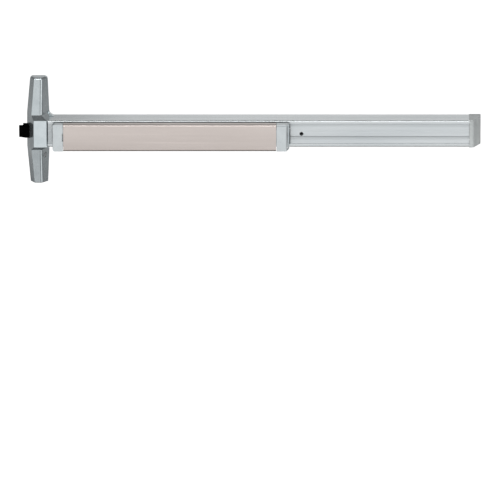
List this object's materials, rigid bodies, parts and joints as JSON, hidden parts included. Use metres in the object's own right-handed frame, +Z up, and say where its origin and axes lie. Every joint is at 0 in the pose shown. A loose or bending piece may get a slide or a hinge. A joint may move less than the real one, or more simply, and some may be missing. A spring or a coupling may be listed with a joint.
{
  "type": "panic exit bar",
  "caption": "Rim-type panic exit device for a narrow-stile door: tall tapered latch head, sprung push pad on a channel case, ribbed case cover with a dogging hole and a bevelled end cap.",
  "frame": {"origin": "middle of the latch head on the door face", "axes": "+X along the bar from the latch head to the hinge side, +Y out of the back into the door, +Z up"},
  "size_m": [0.8887, 0.076, 0.21],
  "materials": {
    "case_alloy": "satin anodised",
    "cover_alloy": "satin anodised, ribbed",
    "pad_steel": "warm satin",
    "block_grey": "satin",
    "head_grey": "satin, fine grain",
    "cap_grey": "fine texture",
    "latch_black": "black, semi-matte",
    "dark_steel": "blackened",
    "zinc_steel": "zinc plated",
    "pin_steel": "ground",
    "spring_steel": "drawn wire",
    "guide_plastic": "moulded"
  },
  "bodies": {
    "case": {"mechanism_case": "case_alloy", "case_cover": "cover_alloy", "neck_filler": "case_alloy", "head_cover": "head_grey", "cover_screw": "zinc_steel", "head_chassis": "zinc_steel", "latch_guide": "guide_plastic", "retractor_pin": "pin_steel", "crank_bracket_left": "zinc_steel", "crank_bracket_right": "zinc_steel", "crank_pins": "pin_steel", "spring_bracket": "zinc_steel", "spring_rod": "pin_steel", "return_spring": "spring_steel", "dogging_bracket": "zinc_steel", "bracket_screws": "pin_steel", "end_bracket": "zinc_steel", "tongue_screws": "pin_steel", "end_cap": "cap_grey", "end_cap_screw": "dark_steel"},
    "pad": {"pad_skin": "pad_steel", "pad_carrier": "zinc_steel", "pad_end_block_left": "block_grey", "pad_end_block_right": "block_grey", "end_block_screws": "pin_steel", "pad_clevis_left": "zinc_steel", "pad_clevis_right": "zinc_steel", "clevis_pins": "pin_steel", "clevis_rivets": "pin_steel"},
    "crank_left": {"bell_crank_left": "zinc_steel"},
    "crank_right": {"bell_crank_right": "zinc_steel"},
    "drawbar": {"drawbar": "zinc_steel", "drawbar_pins": "pin_steel"},
    "retractor": {"retractor_lever": "zinc_steel"},
    "latch": {"latch_bolt": "latch_black", "latch_pin": "pin_steel"},
    "deadlatch": {"deadlatch": "latch_black", "deadlatch_spring": "spring_steel"},
    "dogging": {"dogging_screw": "dark_steel", "dogging_clip": "dark_steel"},
    "trim_hub": {"trim_hub": "zinc_steel"}
  },
  "joints": [
    {"name": "pad_push", "type": "slide", "parent": "case", "child": "pad", "axis": [0, 1, 0], "range_m": [0, 0.016], "stiffness_N_per_m": 2000, "springref_m": -0.012, "deforming": ["return_spring"]},
    {"name": "crank_left_turn", "type": "hinge", "parent": "case", "child": "crank_left", "pos_m": [0.11, -0.017, 0], "axis": [0, 0, 1], "range_deg": [0, 36.87]},
    {"name": "crank_right_turn", "type": "hinge", "parent": "case", "child": "crank_right", "pos_m": [0.4, -0.017, 0], "axis": [0, 0, 1], "range_deg": [0, 36.87]},
    {"name": "drawbar_slide", "type": "slide", "parent": "case", "child": "drawbar", "axis": [1, 0, 0], "range_m": [0, 0.01067]},
    {"name": "retractor_turn", "type": "hinge", "parent": "case", "child": "retractor", "pos_m": [0.006, -0.0355, 0], "axis": [0, 0, -1], "range_deg": [0, 47.92]},
    {"name": "latch_retract", "type": "slide", "parent": "case", "child": "latch", "axis": [1, 0, 0], "range_m": [0, 0.016]},
    {"name": "deadlatch_press", "type": "slide", "parent": "latch", "child": "deadlatch", "axis": [1, 0, 0], "range_m": [0, 0.0075], "stiffness_N_per_m": 200, "springref_m": -0.004, "deforming": ["deadlatch_spring"]},
    {"name": "dogging_turn", "type": "hinge", "parent": "case", "child": "dogging", "pos_m": [0.507, -0.03, 0], "axis": [0, 1, 0], "range_deg": [0, 90]},
    {"name": "trim_hub_turn", "type": "hinge", "parent": "case", "child": "trim_hub", "pos_m": [0, -0.003, -0.066], "axis": [0, 1, 0], "range_deg": [-45, 45]}
  ],
  "couplings": [
    {"joint": "crank_left_turn", "follows": "pad_push", "rad_per_m": 40.218},
    {"joint": "crank_right_turn", "follows": "pad_push", "rad_per_m": 40.218},
    {"joint": "drawbar_slide", "follows": "pad_push", "ratio": 0.6666},
    {"joint": "retractor_turn", "follows": "pad_push", "rad_per_m": 52.278},
    {"joint": "latch_retract", "follows": "pad_push", "ratio": 1}
  ]
}
